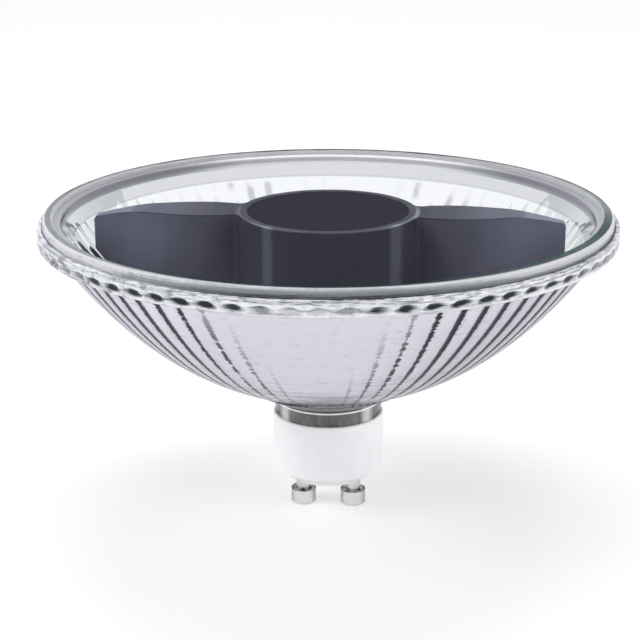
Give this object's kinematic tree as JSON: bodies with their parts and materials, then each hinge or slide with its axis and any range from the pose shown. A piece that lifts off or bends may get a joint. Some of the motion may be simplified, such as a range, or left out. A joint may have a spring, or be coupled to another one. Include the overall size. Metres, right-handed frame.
{
  "type": "reflector spotlight bulb",
  "caption": "Wide spotlight bulb: fluted silvered glass bowl with a flat clear front, a dark hub-and-wing bridge behind it, and a white two-pin twist-lock cap.",
  "frame": {"origin": "midway between the two contact pins, in the plane of their free ends", "axes": "+Z along the lamp's axis, from the pins towards the front glass; the two pins and the bridge's two wings lie on X"},
  "size_m": [0.111, 0.111, 0.0614],
  "materials": {
    "silvered_glass": "pressed glass, silvered",
    "clear_glass": "clear, slightly green at the edge",
    "clear_silicone": "clear silicone bead",
    "dark_casting": "cast, dark grey satin paint",
    "bright_steel": "zinc plated",
    "cap_ceramic": "white, semi-gloss",
    "grey_silicone": "soft pad",
    "white_board": "metal-core board, white mask",
    "phosphor": "yellow phosphor in clear resin",
    "lead_insulation": "white insulation",
    "sleeve_plastic": "white film sleeve",
    "green_board": "glass-fibre board, green mask",
    "ferrite": "ground ferrite",
    "copper_winding": "enamelled copper",
    "capacitor_can": "sleeved can",
    "capacitor_resin": "dipped resin",
    "black_resin": "moulded black",
    "cement": "lamp cement",
    "nickel_pin": "nickel-plated, bright"
  },
  "bodies": {
    "root": {"reflector": "silvered_glass", "front_glass": "clear_glass", "rim_seal": "clear_silicone", "bridge": "dark_casting", "hub_cover": "dark_casting", "stem": "bright_steel", "stem_nut": "bright_steel", "stem_collar": "cap_ceramic", "thermal_pad": "grey_silicone", "light_board": "white_board", "emitters": "phosphor", "light_board_screws": "bright_steel", "light_leads": "lead_insulation", "insulating_sleeve": "sleeve_plastic", "driver_board": "green_board", "driver_screws": "bright_steel", "transformer_core": "ferrite", "transformer_winding": "copper_winding", "smoothing_capacitor": "capacitor_can", "film_capacitor": "capacitor_resin", "rectifier": "black_resin", "driver_chip": "black_resin", "fuse_resistor": "capacitor_resin", "cap": "cap_ceramic", "neck_cement": "cement", "contact_pin_left": "nickel_pin", "contact_pin_right": "nickel_pin", "supply_lead_left": "copper_winding", "supply_lead_right": "copper_winding"}
  },
  "joints": []
}
